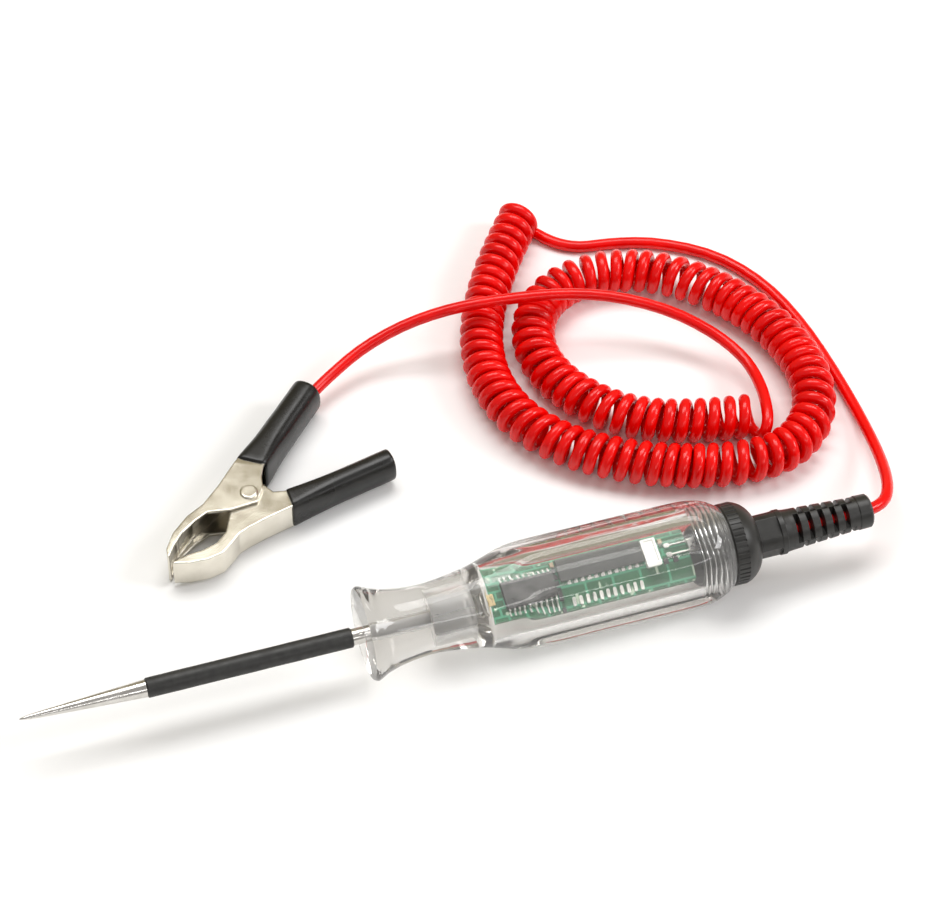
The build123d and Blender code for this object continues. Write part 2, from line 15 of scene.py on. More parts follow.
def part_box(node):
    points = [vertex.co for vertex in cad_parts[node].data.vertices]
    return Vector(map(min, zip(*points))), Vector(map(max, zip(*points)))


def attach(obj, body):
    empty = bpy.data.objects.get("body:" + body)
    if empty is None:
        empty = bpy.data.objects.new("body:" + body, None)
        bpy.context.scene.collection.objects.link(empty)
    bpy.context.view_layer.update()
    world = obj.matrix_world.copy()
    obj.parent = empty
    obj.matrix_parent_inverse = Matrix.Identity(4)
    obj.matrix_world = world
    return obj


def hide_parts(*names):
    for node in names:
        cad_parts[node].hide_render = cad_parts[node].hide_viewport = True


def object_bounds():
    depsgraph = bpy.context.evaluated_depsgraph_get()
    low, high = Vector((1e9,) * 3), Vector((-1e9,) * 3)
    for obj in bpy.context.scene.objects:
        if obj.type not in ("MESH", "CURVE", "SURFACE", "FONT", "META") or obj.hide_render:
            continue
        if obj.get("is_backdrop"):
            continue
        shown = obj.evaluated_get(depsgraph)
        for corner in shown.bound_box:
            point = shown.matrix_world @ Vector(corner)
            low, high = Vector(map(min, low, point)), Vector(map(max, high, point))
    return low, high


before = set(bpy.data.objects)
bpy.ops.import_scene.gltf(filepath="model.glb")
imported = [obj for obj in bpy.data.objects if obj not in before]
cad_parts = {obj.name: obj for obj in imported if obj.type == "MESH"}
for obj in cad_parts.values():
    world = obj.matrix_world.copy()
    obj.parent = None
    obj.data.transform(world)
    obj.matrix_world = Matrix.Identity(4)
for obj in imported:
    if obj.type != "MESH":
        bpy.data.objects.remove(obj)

cad_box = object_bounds()
MM = 0.001
print("parts in the frame:", len(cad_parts))

# %% [markdown]
# ## Where the tester lies
# The axis and the handle's ends are worked out from the frame. The probe is a round bar on the
# tester's axis, so the middle of its box gives the axis. The handle lies rolled a little on its
# flats, and the board faces the same way, so one helper turns "along, across and up from the board"
# into a place in the scene.

# %% Axis and roll of the tester
probe_low, probe_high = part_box("probe_rod")
handle_low, handle_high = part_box("handle")
axis_height = (probe_low.z + probe_high.z) / 2
face_x, cap_x = handle_low.x, handle_high.x
ROLL = radians(20)


def on_tester(along, across, up):
    """A place by its distance along the tester, across it away from the viewer, and up from its axis."""
    return Vector((along, across * cos(ROLL) - up * sin(ROLL),
                   axis_height + across * sin(ROLL) + up * cos(ROLL)))


print("axis height", round(axis_height, 5), "handle from", round(face_x, 4), "to", round(cap_x, 4))

# %% [markdown]
# ## Camera
# A catalogue view: the camera stands a metre away, looks down by fifty degrees, and has turned a
# little to the left of the tester's side. A long lens keeps the near and far ends at one scale.
# The camera is made first because every later choice is judged through it.

# %% Camera
LOOK_AT = Vector((20.4, 57.8, 0)) * MM
HEADING, TILT, AWAY = radians(17.31), radians(50), 1.0
aim = Vector((sin(HEADING) * cos(TILT), cos(HEADING) * cos(TILT), -sin(TILT)))

camera_data = bpy.data.cameras.new("camera")
camera_data.lens = 147
camera_data.sensor_width = 36
camera_data.clip_end = 10
camera = bpy.data.objects.new("camera", camera_data)
camera.location = LOOK_AT - aim * AWAY
camera.rotation_euler = aim.to_track_quat("-Z", "Y").to_euler()
bpy.context.collection.objects.link(camera)
bpy.context.scene.camera = camera
print("camera at", [round(value, 3) for value in camera.location])

# %% [markdown]
# ## Bench and light
# A plain pale bench, and three soft lights. The lamp on the right is there for the small highlight on
# each turn of the cord, and the long strip in front for thin bright lines along the tester. The wide
# light overhead stands a little behind the tester: straight above, it would shine back off the
# handle's top flat, over the board. Plated steel shows its surroundings, so the room is a dim wall
# that is warmer at the far side, and the clip mirrors it.


# %% Bench
def link(new_object):
    """Put a new object in the scene and hand it back."""
    bpy.context.collection.objects.link(new_object)
    return new_object


def bench_finish():
    """Matt white card with a very faint mottling."""
    material = bpy.data.materials.new("bench_card")
    material.use_nodes = True
    nodes, links = material.node_tree.nodes, material.node_tree.links
    shader = nodes["Principled BSDF"]
    shader.inputs["Roughness"].default_value = 0.75
    place = nodes.new("ShaderNodeTexCoord")
    mottle = nodes.new("ShaderNodeTexNoise")
    mottle.inputs["Scale"].default_value = 6
    shade = nodes.new("ShaderNodeValToRGB")
    shade.color_ramp.elements[0].color = (0.90, 0.90, 0.90, 1)
    shade.color_ramp.elements[1].color = (0.94, 0.94, 0.935, 1)
    links.new(place.outputs["Object"], mottle.inputs["Vector"])
    links.new(mottle.outputs["Fac"], shade.inputs["Fac"])
    links.new(shade.outputs["Color"], shader.inputs["Base Color"])
    return material


bench_mesh = bpy.data.meshes.new("bench")
BENCH = 4
corners = [(-BENCH, -BENCH, 0), (BENCH, -BENCH, 0), (BENCH, BENCH, 0), (-BENCH, BENCH, 0)]
bench_mesh.from_pydata(corners, [], [(0, 1, 2, 3)])
bench_mesh.materials.append(bench_finish())
bench = link(bpy.data.objects.new("bench", bench_mesh))
bench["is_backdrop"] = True
print("bench:", 2 * BENCH, "m wide")


# %% Lights
def soft_light(name, towards, distance, size, watts):
    """A rectangular soft light that shines on the middle of the object."""
    data = bpy.data.lights.new(name, "AREA")
    data.shape = "RECTANGLE"
    data.size, data.size_y = size
    data.energy = watts
    lamp = link(bpy.data.objects.new(name, data))
    towards = Vector(towards).normalized()
    lamp.location = LOOK_AT + towards * distance
    lamp.rotation_euler = (-towards).to_track_quat("-Z", "Y").to_euler()


soft_light("lamp_right", (0.74, -0.26, 0.62), 1.1, (0.36, 0.36), 4.2)
soft_light("lamp_overhead", (0.06, 0.34, 0.94), 1.4, (1.3, 0.66), 15.0)
soft_light("lamp_front", (0.19, -0.80, 0.55), 1.3, (1.1, 0.10), 2.2)

room = bpy.data.worlds.new("room")
room.use_nodes = True
bpy.context.scene.world = room
nodes, links = room.node_tree.nodes, room.node_tree.links
direction = nodes.new("ShaderNodeTexCoord")
split = nodes.new("ShaderNodeSeparateXYZ")
wall = nodes.new("ShaderNodeValToRGB")
wall.color_ramp.elements[0].position = 0.0
wall.color_ramp.elements[0].color = (0.40, 0.39, 0.38, 1)
wall.color_ramp.elements[1].position = 0.62
wall.color_ramp.elements[1].color = (0.36, 0.315, 0.215, 1)
links.new(direction.outputs["Generated"], split.inputs["Vector"])
links.new(split.outputs["Y"], wall.inputs["Fac"])
links.new(wall.outputs["Color"], nodes["Background"].inputs["Color"])
nodes["Background"].inputs["Strength"].default_value = 1.0
bpy.context.scene.view_settings.view_transform = "Standard"

# %% [markdown]
# ## The route of the cord
# The cord leaves the strain relief, turns aside at once, sinks to the bench and goes round the
# outside of the coil. The coil itself is a loop and three quarters. The tail then climbs over the two
# left-hand sides of the coil and comes down into the clip's grip. The points are listed in
# millimetres. The coil's are the CAD model's own. The lead's and the tail's follow the model's, with
# more of them where the wire meets the coil, and the tail's go a little further into the grip. A
# NURBS spline of order 3 turns them into a smooth line.

# %% Control points of the route
lead_route = [Vector(point) * MM for point in (
    (111.8, 0, 14.194), (115.8, 0.9, 13.8), (119.3, 5.2, 12.6), (122.0, 12.5, 10.0),
    (124.4, 23.5, 6.0), (125.9, 38.0, 2.2), (125.3, 55.0, 1.7), (123.2, 75.0, 1.7),
    (118.6, 92.5, 1.7), (109.5, 107.0, 1.7), (95.5, 116.4, 1.7), (83.5, 119.9, 1.7),
    (74.6, 120.8, 1.7), (69.6, 123.4, 1.7), (66.2, 126.8, 1.65), (63.9, 130.2, 1.62),
    (62.3, 132.3, 1.62),
)]
COIL_HEIGHT = 6.05
coil_route = [Vector((x, y, COIL_HEIGHT)) * MM for x, y in (
    (61.0, 133.7), (51.5, 121.5), (43.0, 108.0), (36.6, 94.0), (33.8, 79.0), (36.8, 63.5),
    (45.5, 51.0), (58.0, 41.5), (72.5, 34.6), (88.0, 30.6), (102.5, 31.2), (113.0, 40.0),
    (117.2, 54.0), (115.3, 68.5), (109.0, 83.0), (99.0, 95.5), (86.5, 104.3), (72.5, 107.2),
    (59.4, 103.6), (51.0, 94.0), (48.6, 80.5), (54.0, 66.5), (65.0, 54.8), (80.0, 48.2),
    (96.2, 45.6),
)]
tail_route = [Vector(point) * MM for point in (
    (97.2, 43.6, 1.65), (97.5, 41.6, 2.2), (97.8, 40.0, 3.6), (98.3, 39.2, 5.6),
    (99.2, 39.9, 7.4), (100.2, 42.2, 8.2), (101.2, 46.2, 8.2), (102.2, 51.6, 7.6),
    (102.6, 57.8, 7.0), (101.8, 64.8, 7.0), (97.0, 73.6, 8.6), (87.0, 82.3, 12.2),
    (73.0, 89.0, 15.6), (59.0, 92.9, 17.0), (44.0, 95.2, 17.2), (30.0, 97.0, 16.4),
    (17.0, 98.6, 12.6), (4.6, 97.2, 8.6), (-5.2, 92.6, 6.4), (-11.6, 88.5, 5.75),
    (-15.2, 85.4, 5.7),
)]
print("control points:", len(lead_route), "lead,", len(coil_route), "coil,", len(tail_route), "tail")

# %% [markdown]
# ## Reading points off a spline
# The turns of the curly part have to follow a smooth line, not the straight runs between its control
# points. Blender evaluates a spline for us when it makes a mesh from a curve that has no bevel, so
# the helper makes such a curve, reads the mesh's vertices and throws both away.


# %% Points along a smooth line
def spline_curve(name, points, steps):
    """A curve of one open NURBS spline; its order can't exceed its points, so it is set after them."""
    data = bpy.data.curves.new(name, "CURVE")
    data.dimensions = "3D"
    data.resolution_u = steps
    spline = data.splines.new("NURBS")
    spline.points.add(len(points) - 1)
    for control, place in zip(spline.points, points):
        control.co = (*place, 1)
    spline.order_u = 3
    spline.use_endpoint_u = True
    return data


def read_spline(points, steps=12):
    """The places that a smooth line through the control points passes."""
    data = spline_curve("reading", points, steps)
    holder = bpy.data.objects.new("reading", data)
    mesh = bpy.data.meshes.new_from_object(holder)
    places = [vertex.co.copy() for vertex in mesh.vertices]
    bpy.data.objects.remove(holder)
    bpy.data.curves.remove(data)
    bpy.data.meshes.remove(mesh)
    return places


def distances(places):
    """How far along the line each place is."""
    run = [0.0]
    for before, here in zip(places, places[1:]):
        run.append(run[-1] + (here - before).length)
    return run


coil_line = read_spline(coil_route)
coil_run = distances(coil_line)
print("middle of the coil:", round(coil_run[-1], 4), "m long")

# %% [markdown]
# ## Winding the turns
# The cord is wound to the left: seen from either end it goes round the other way from an ordinary
# screw. The angle grows with the distance along the middle line, one turn about every 4 mm.
# Sixteen control points make a turn. A spline of order 3 runs a little inside its control points, so
# the winding radius is enlarged by that share. A worn cord is not a perfect spring, so the spacing
# breathes slowly along the coil and each turn leans by its own small amount.

# %% The turns of the coil
CORD_DIAMETER = 3.15 * MM
COIL_DIAMETER = 12.0 * MM
TURNS = 90
POINTS_A_TURN = 16
UPWARDS = Vector((0, 0, 1))
inside_share = (6 + 2 * cos(2 * pi / POINTS_A_TURN)) / 8
wind_radius = (COIL_DIAMETER - CORD_DIAMETER) / 2 / inside_share


def place_at(places, run, distance):
    """The place and the heading at a distance along a line."""
    index = 1
    while index < len(run) - 1 and run[index] < distance:
        index += 1
    before, after = places[index - 1], places[index]
    share = (distance - run[index - 1]) / max(run[index] - run[index - 1], 1e-9)
    ahead = places[min(index + 1, len(places) - 1)]
    behind = places[max(index - 2, 0)]
    return before.lerp(after, share), (ahead - behind).normalized()


def unevenness(turn, seed):
    """A smooth random number between about -1 and 1 that changes from turn to turn."""
    return noise.noise(Vector((turn * 0.9, seed, 0.5))) * 1.6


COIL_START, COIL_STOP = 0.2 * MM, coil_run[-1] + 0.6 * MM
pitch = (COIL_STOP - COIL_START) / TURNS
helix = []
steps = TURNS * POINTS_A_TURN
for step in range(steps + 1):
    turn = step / POINTS_A_TURN
    breathing = 0.9 * MM * sin(turn * 0.31) + 0.5 * MM * sin(turn * 0.83 + 2)
    along = COIL_START + turn * pitch + breathing * sin(pi * step / steps)
    middle, heading = place_at(coil_line, coil_run, along)
    side = heading.cross(UPWARDS).normalized()
    angle = radians(270) + 2 * pi * turn
    lean = 0.35 * MM * unevenness(turn, 3.0)
    radius = wind_radius * (1 - 0.012 * abs(unevenness(turn, 9.0)))
    helix.append(middle + side * cos(angle) * radius + UPWARDS * sin(angle) * radius
                 + heading * lean * sin(angle + 1))
print("turns in the coil:", TURNS, "one every", round(pitch / MM, 2), "mm")

# %% [markdown]
# ## The cord
# Lead, turns and tail are one wire, so they are one spline. Blender's box of a curve takes in the
# radius of its points, so the points carry the wire's real radius and the bevel is left at one.

# %% One wire from the strain relief to the clip
wire_points = lead_route + helix + tail_route
cord_data = spline_curve("red_cord", wire_points, 3)
for point in cord_data.splines[0].points:
    point.radius = CORD_DIAMETER / 2
cord_data.bevel_depth = 1.0
cord_data.bevel_resolution = 5
cord = link(bpy.data.objects.new("red_cord", cord_data))
wire_length = distances(read_spline(wire_points, 3))[-1]
print("cord:", round(wire_length, 3), "m")

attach(cord, "rear_unit")
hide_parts("lead_wire", "cord_coil", "tail_wire")

# %% [markdown]
# ## How a finish is made
# Nothing real has one flat colour. Each finish here starts from two near shades that a soft noise
# mixes, a roughness that varies a little, and a fine grain as a bump. The places come from the
# object itself, in metres, so a noise scale of 1000 makes features of about a millimetre. A rounding
# node eases the normals near sharp edges, as a worn mould or a tumbled stamping does.


# %% The common finish
def new_finish(name):
    """An empty material with its node lists and its shader."""
    material = bpy.data.materials.new(name)
    material.use_nodes = True
    return material, material.node_tree.nodes, material.node_tree.links


def noise_node(nodes, links, place, scale, detail=3.0):
    """A soft noise in the object's own space."""
    soft = nodes.new("ShaderNodeTexNoise")
    soft.inputs["Scale"].default_value = scale
    soft.inputs["Detail"].default_value = detail
    links.new(place.outputs["Object"], soft.inputs["Vector"])
    return soft


def common_finish(name, dark, light, rough, mottle=300, grain=1800, depth=0.02, edge=0.0):
    """Two shades, a roughness between two values, a bump from grain, and eased edges."""
    material, nodes, links = new_finish(name)
    shader = nodes["Principled BSDF"]
    place = nodes.new("ShaderNodeTexCoord")
    patches = noise_node(nodes, links, place, mottle)
    shade = nodes.new("ShaderNodeValToRGB")
    shade.color_ramp.elements[0].position, shade.color_ramp.elements[1].position = 0.35, 0.65
    shade.color_ramp.elements[0].color = (*dark, 1)
    shade.color_ramp.elements[1].color = (*light, 1)
    links.new(patches.outputs["Fac"], shade.inputs["Fac"])
    links.new(shade.outputs["Color"], shader.inputs["Base Color"])
    wear = noise_node(nodes, links, place, mottle * 0.6, 5.0)
    dull = nodes.new("ShaderNodeMapRange")
    dull.inputs["From Min"].default_value, dull.inputs["From Max"].default_value = 0.3, 0.7
    dull.inputs["To Min"].default_value, dull.inputs["To Max"].default_value = rough
    links.new(wear.outputs["Fac"], dull.inputs["Value"])
    links.new(dull.outputs["Result"], shader.inputs["Roughness"])
    fine = noise_node(nodes, links, place, grain, 2.0)
    bump = nodes.new("ShaderNodeBump")
    bump.inputs["Strength"].default_value = 0.6
    bump.inputs["Distance"].default_value = depth * MM
    links.new(fine.outputs["Fac"], bump.inputs["Height"])
    if edge:
        ease = nodes.new("ShaderNodeBevel")
        ease.samples = 6
        ease.inputs["Radius"].default_value = edge * MM
        links.new(ease.outputs["Normal"], bump.inputs["Normal"])
    links.new(bump.outputs["Normal"], shader.inputs["Normal"])
    return material, shader


# %% [markdown]
# ## The finishes of this tester
# Red cord is a glossy, slightly clear polyurethane. The cap and the strain relief are black
# nylon, the grips and the sleeve are vinyl, the clip is stamped steel with bright nickel, and the
# probe is turned steel. The board has its own green lacquer further down.

# %% Cord, vinyl and plastic
red, shader = common_finish("red_cord", (0.72, 0.0006, 0.0003), (0.86, 0.0015, 0.0006), (0.17, 0.25),
                            mottle=120, grain=1500, depth=0.01)
shader.inputs["Specular IOR Level"].default_value = 0.36
shader.inputs["Subsurface Weight"].default_value = 0.12
shader.inputs["Subsurface Radius"].default_value = (0.0012, 0.0002, 0.0002)
cord_data.materials.append(red)

black_vinyl, shader = common_finish("black_vinyl", (0.0065, 0.0060, 0.0055), (0.011, 0.0105, 0.0095),
                                    (0.22, 0.34), mottle=200, grain=900, depth=0.02, edge=0.5)
shader.inputs["Specular IOR Level"].default_value = 0.42

sleeve_vinyl = common_finish("sleeve_vinyl", (0.013, 0.0128, 0.012), (0.024, 0.0236, 0.022),
                             (0.42, 0.58), mottle=500, grain=1400, depth=0.03)[0]

black_plastic = common_finish("black_plastic", (0.011, 0.0104, 0.0090), (0.019, 0.0178, 0.0158),
                              (0.30, 0.44), mottle=250, grain=1600, depth=0.015, edge=0.25)[0]


# %% Metals
def metal_finish(*shades, **texture):
    """The common finish with a bare metal surface."""
    material, shader = common_finish(*shades, **texture)
    shader.inputs["Metallic"].default_value = 1.0
    return material


nickel = metal_finish("nickel_plate", (0.70, 0.66, 0.57), (0.80, 0.76, 0.67), (0.13, 0.26),
                      mottle=180, grain=420, depth=0.008, edge=0.6)
turned_steel = metal_finish("turned_steel", (0.62, 0.60, 0.57), (0.74, 0.72, 0.69), (0.16, 0.30),
                            mottle=400, grain=2600, depth=0.02)
tinned = metal_finish("tinned_metal", (0.72, 0.71, 0.68), (0.86, 0.85, 0.82), (0.22, 0.38),
                      mottle=900, grain=2500, depth=0.02, edge=0.12)
spring_steel = metal_finish("spring_steel", (0.42, 0.41, 0.39), (0.58, 0.57, 0.54), (0.25, 0.38),
                            mottle=700, grain=2500, depth=0.01)
brass = metal_finish("brass", (0.72, 0.56, 0.30), (0.84, 0.68, 0.38), (0.22, 0.36),
                     mottle=600, grain=2200, depth=0.01, edge=0.1)
print("finishes so far:", len(bpy.data.materials))

# %% [markdown]
# ## Finishes on the board
# The lacquer is green and looks paler over copper. A brick pattern laid at the board's own roll
# stands for the tracks: its joints are the copper. Small round lands are scattered over it. The chip
# and the display are plain: the chip is a mottled moulding with nothing printed on it, and the
# display is off.


# %% Green lacquer with tracks under it
def board_finish():
    """Green lacquer, darker over bare laminate and paler over the copper tracks."""
    material, nodes, links = new_finish("board_green")
    shader = nodes["Principled BSDF"]
    shader.inputs["Roughness"].default_value = 0.28
    place = nodes.new("ShaderNodeTexCoord")
    lay = nodes.new("ShaderNodeMapping")
    lay.inputs["Rotation"].default_value = (-ROLL, 0, 0)
    links.new(place.outputs["Object"], lay.inputs["Vector"])
    tracks = nodes.new("ShaderNodeTexBrick")
    tracks.offset, tracks.squash = 0.37, 1.6
    tracks.inputs["Scale"].default_value = 110
    tracks.inputs["Mortar Size"].default_value = 0.035
    tracks.inputs["Mortar Smooth"].default_value = 0.1
    tracks.inputs["Color1"].default_value = (0.012, 0.095, 0.036, 1)
    tracks.inputs["Color2"].default_value = (0.016, 0.120, 0.048, 1)
    tracks.inputs["Mortar"].default_value = (0.060, 0.30, 0.17, 1)
    links.new(lay.outputs["Vector"], tracks.inputs["Vector"])
    lands = nodes.new("ShaderNodeTexVoronoi")
    lands.inputs["Scale"].default_value = 420
    links.new(lay.outputs["Vector"], lands.inputs["Vector"])
    rim = nodes.new("ShaderNodeValToRGB")
    rim.color_ramp.elements[0].position, rim.color_ramp.elements[1].position = 0.16, 0.22
    rim.color_ramp.elements[0].color = (1, 1, 1, 1)
    rim.color_ramp.elements[1].color = (0, 0, 0, 1)
    links.new(lands.outputs["Distance"], rim.inputs["Fac"])
    mix = nodes.new("ShaderNodeMix")
    mix.data_type = "RGBA"
    links.new(rim.outputs["Color"], mix.inputs["Factor"])
    links.new(tracks.outputs["Color"], mix.inputs["A"])
    mix.inputs["B"].default_value = (0.45, 0.55, 0.42, 1)
    links.new(mix.outputs["Result"], shader.inputs["Base Color"])
    bump = nodes.new("ShaderNodeBump")
    bump.inputs["Distance"].default_value = 0.03 * MM
    links.new(tracks.outputs["Fac"], bump.inputs["Height"])
    links.new(bump.outputs["Normal"], shader.inputs["Normal"])
    return material


board_green = board_finish()
chip_black = common_finish("chip_black", (0.020, 0.020, 0.020), (0.070, 0.070, 0.068),
                           (0.45, 0.7), mottle=420, grain=3000, depth=0.02, edge=0.1)[0]
display_glass = common_finish("display_glass", (0.060, 0.064, 0.062), (0.085, 0.088, 0.084),
                              (0.08, 0.14), mottle=60, grain=3000, depth=0.002, edge=0.1)[0]
white_plastic = common_finish("white_plastic", (0.80, 0.80, 0.77), (0.88, 0.88, 0.86),
                              (0.35, 0.5), mottle=300, grain=2000, depth=0.01, edge=0.15)[0]
tray_white = common_finish("tray_plastic", (0.55, 0.56, 0.54), (0.66, 0.67, 0.65),
                           (0.4, 0.6), mottle=300, grain=2000, depth=0.01, edge=0.15)[0]
tan_ceramic = common_finish("part_ceramic", (0.34, 0.24, 0.15), (0.46, 0.34, 0.22),
                            (0.35, 0.5), mottle=900, grain=3000, depth=0.01, edge=0.1)[0]
resistor_black = common_finish("resistor_black", (0.012, 0.012, 0.013), (0.05, 0.05, 0.05),
                               (0.3, 0.5), mottle=900, grain=3000, depth=0.01, edge=0.1)[0]
print("finishes made:", len(bpy.data.materials))

# %% [markdown]
# ## Clear plastic
# The handle is a clear moulding that bends what lies behind it, so its shader is glass with the
# plastic's index, a little roughness from handling, and a grey body that darkens long paths. Lamps
# would have to find their way through every curved wall, which leaves dark, noisy shadows, so a
# shadow ray goes straight through and only loses a little light on the way. The bore for the rod and
# the spring keeps the drag marks of the pins that shaped it, so it gets a rougher finish of its own.


# %% Glass with a grey body
def clear_finish(name, rough, clearness, lengthwise):
    """Clear plastic; lengthwise is the noise's scale along the tester, under one for long streaks."""
    material, nodes, links = new_finish(name)
    shader = nodes["Principled BSDF"]
    shader.inputs["Transmission Weight"].default_value = clearness
    shader.inputs["IOR"].default_value = 1.46
    place = nodes.new("ShaderNodeTexCoord")
    stretch = nodes.new("ShaderNodeMapping")
    stretch.inputs["Scale"].default_value = (lengthwise, 1.0, 1.0)
    links.new(place.outputs["Object"], stretch.inputs["Vector"])
    haze = nodes.new("ShaderNodeTexNoise")
    haze.inputs["Scale"].default_value = 160
    haze.inputs["Detail"].default_value = 4.0
    links.new(stretch.outputs["Vector"], haze.inputs["Vector"])
    tint = nodes.new("ShaderNodeValToRGB")
    tint.color_ramp.elements[0].color = (0.94, 0.935, 0.925, 1)
    tint.color_ramp.elements[1].color = (0.975, 0.97, 0.96, 1)
    links.new(haze.outputs["Fac"], tint.inputs["Fac"])
    links.new(tint.outputs["Color"], shader.inputs["Base Color"])
    rub = nodes.new("ShaderNodeMapRange")
    rub.inputs["To Min"].default_value, rub.inputs["To Max"].default_value = rough
    links.new(haze.outputs["Fac"], rub.inputs["Value"])
    links.new(rub.outputs["Result"], shader.inputs["Roughness"])
    through = nodes.new("ShaderNodeBsdfTransparent")
    through.inputs["Color"].default_value = (0.93, 0.93, 0.93, 1)
    ray = nodes.new("ShaderNodeLightPath")
    choose = nodes.new("ShaderNodeMixShader")
    links.new(ray.outputs["Is Shadow Ray"], choose.inputs["Fac"])
    links.new(shader.outputs["BSDF"], choose.inputs[1])
    links.new(through.outputs["BSDF"], choose.inputs[2])
    output = nodes["Material Output"]
    links.new(choose.outputs["Shader"], output.inputs["Surface"])
    body = nodes.new("ShaderNodeVolumeAbsorption")
    body.inputs["Color"].default_value = (0.55, 0.53, 0.50, 1)
    body.inputs["Density"].default_value = 45
    links.new(body.outputs["Volume"], output.inputs["Volume"])
    return material


clear_plastic = clear_finish("clear_plastic", (0.0, 0.05), 0.955, 1.0)
clear_bore = clear_finish("clear_plastic_in_the_bore", (0.18, 0.40), 0.70, 0.06)
print("clear finishes:", clear_plastic.name, clear_bore.name)

# %% [markdown]
# ## Surfaces from rings
# Most of what follows is round or nearly so: a row of rings, each one the cross-section at its
# place, joined by four-sided faces. Such a net stays even, so it shades and bends light cleanly,
# which a net cut into long thin triangles doesn't.


# %% Rings to a mesh
def ring_mesh(name, rings, closed=False, cap_ends=True, sharp=38):
    """A mesh through rings with the same number of places; closed joins the last ring to the first."""
    around = len(rings[0])
    places = [tuple(place) for ring in rings for place in ring]
    pairs = list(zip(range(len(rings)), range(1, len(rings))))
    if closed:
        pairs.append((len(rings) - 1, 0))
    faces = []
    for first, second in pairs:
        for i in range(around):
            j = (i + 1) % around
            faces.append((first * around + i, first * around + j,
                          second * around + j, second * around + i))
    if cap_ends and not closed:
        faces.append(tuple(reversed(range(around))))
        faces.append(tuple(range((len(rings) - 1) * around, len(rings) * around)))
    mesh = bpy.data.meshes.new(name)
    mesh.from_pydata(places, [], faces)
    net = bmesh.new()
    net.from_mesh(mesh)
    bmesh.ops.recalc_face_normals(net, faces=net.faces)
    net.to_mesh(mesh)
    net.free()
    for face in mesh.polygons:
        face.use_smooth = True
    mesh.set_sharp_from_angle(angle=radians(sharp))
    return link(bpy.data.objects.new(name, mesh))


def between(table, x):
    """A smooth curve through a short table of (place, value), read at x."""
    if x <= table[0][0]:
        return table[0][1]
    if x >= table[-1][0]:
        return table[-1][1]
    index = max(i for i, (place, _) in enumerate(table) if place <= x)
    index = min(index, len(table) - 2)
    (x0, y0), (x1, y1) = table[index], table[index + 1]
    xa, ya = table[max(index - 1, 0)]
    xb, yb = table[min(index + 2, len(table) - 1)]
    slope0 = (y1 - ya) / (x1 - xa)
    slope1 = (yb - y0) / (xb - x0)
    t = (x - x0) / (x1 - x0)
    span = x1 - x0
    return ((2 * t**3 - 3 * t**2 + 1) * y0 + (t**3 - 2 * t**2 + t) * span * slope0
            + (3 * t**2 - 2 * t**3) * y1 + (t**3 - t**2) * span * slope1)


def dress(piece, body, slot, material, *nodes_replaced):
    """Give a new piece its finish and its body, and hide the parts that it stands for."""
    piece.data.materials.append(material)
    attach(piece, body)
    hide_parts(*nodes_replaced)
    return piece


# %% [markdown]
# ## The clear handle
# Outside, the handle is a round profile cut by six flats: a flared nose, a waist to pinch, a body
# with six soft corners. Inside there is the rod's bore, a wider bore for the contact spring, the
# chamber for the board and, at the rear, the thread for the cap. Light goes through both skins, so
# both are modelled. A power mean of the round and the flat eases the corner between them, less the
# higher the power. The profiles and the radii below are in millimetres, from the handle's front face.

# %% Handle
AROUND = 120
outside = [(0, 11.75), (0.35, 12.1), (0.9, 12.3), (2.2, 11.75), (4, 10.9), (8.5, 9.7), (15.7, 8.95),
           (22, 9.4), (29, 10.5), (33, 11.6), (37, 12.8), (41, 13.75), (46, 14.18), (60, 14.18),
           (83, 14.18), (87, 13.98), (89.5, 13.5), (93, 12.2), (95.7, 10.45)]
flat_distances = [(0, 11.9), (10, 12.1), (14, 12.95), (96, 12.95)]
CORNER_POWER = 70
THREAD_PITCH, THREAD_LENGTH, THREAD_RADIUS, THREAD_DEPTH = 1.25, 9, 9.62, 0.34
CHAMBER_RADIUS, SPRING_RADIUS, ROD_RADIUS = 9.6, 5.0, 1.56
chamber_x = 31.5
rod_bore_end = 16.8
length = (cap_x - face_x) / MM


def outer_radius(along, angle):
    """Millimetres from the axis to the outer skin."""
    round_part = between(outside, along)
    turn = (angle - radians(90) + radians(30)) % radians(60) - radians(30)
    flat_part = between(flat_distances, along) / cos(turn)
    return (round_part**-CORNER_POWER + flat_part**-CORNER_POWER) ** (-1 / CORNER_POWER)


def thread_radius(along, angle):
    """The rear bore with its screw thread: one soft ridge for each pitch."""
    turn = ((along - length) / THREAD_PITCH - angle / (2 * pi)) % 1
    ridge = 0.5 + 0.5 * cos(2 * pi * turn)
    return THREAD_RADIUS - THREAD_DEPTH * ridge**1.5


def handle_ring(along, radius_at):
    """One ring of the handle; radius_at gives millimetres for an angle."""
    ring = []
    for step in range(AROUND):
        angle = 2 * pi * step / AROUND
        radius = radius_at(angle) * MM
        ring.append(on_tester(face_x + along * MM, radius * cos(angle), radius * sin(angle)))
    return ring


def spread(start, stop, gap):
    """Evenly spaced values from start to stop."""
    count = max(1, round((stop - start) / gap))
    return [start + (stop - start) * i / count for i in range(count + 1)]


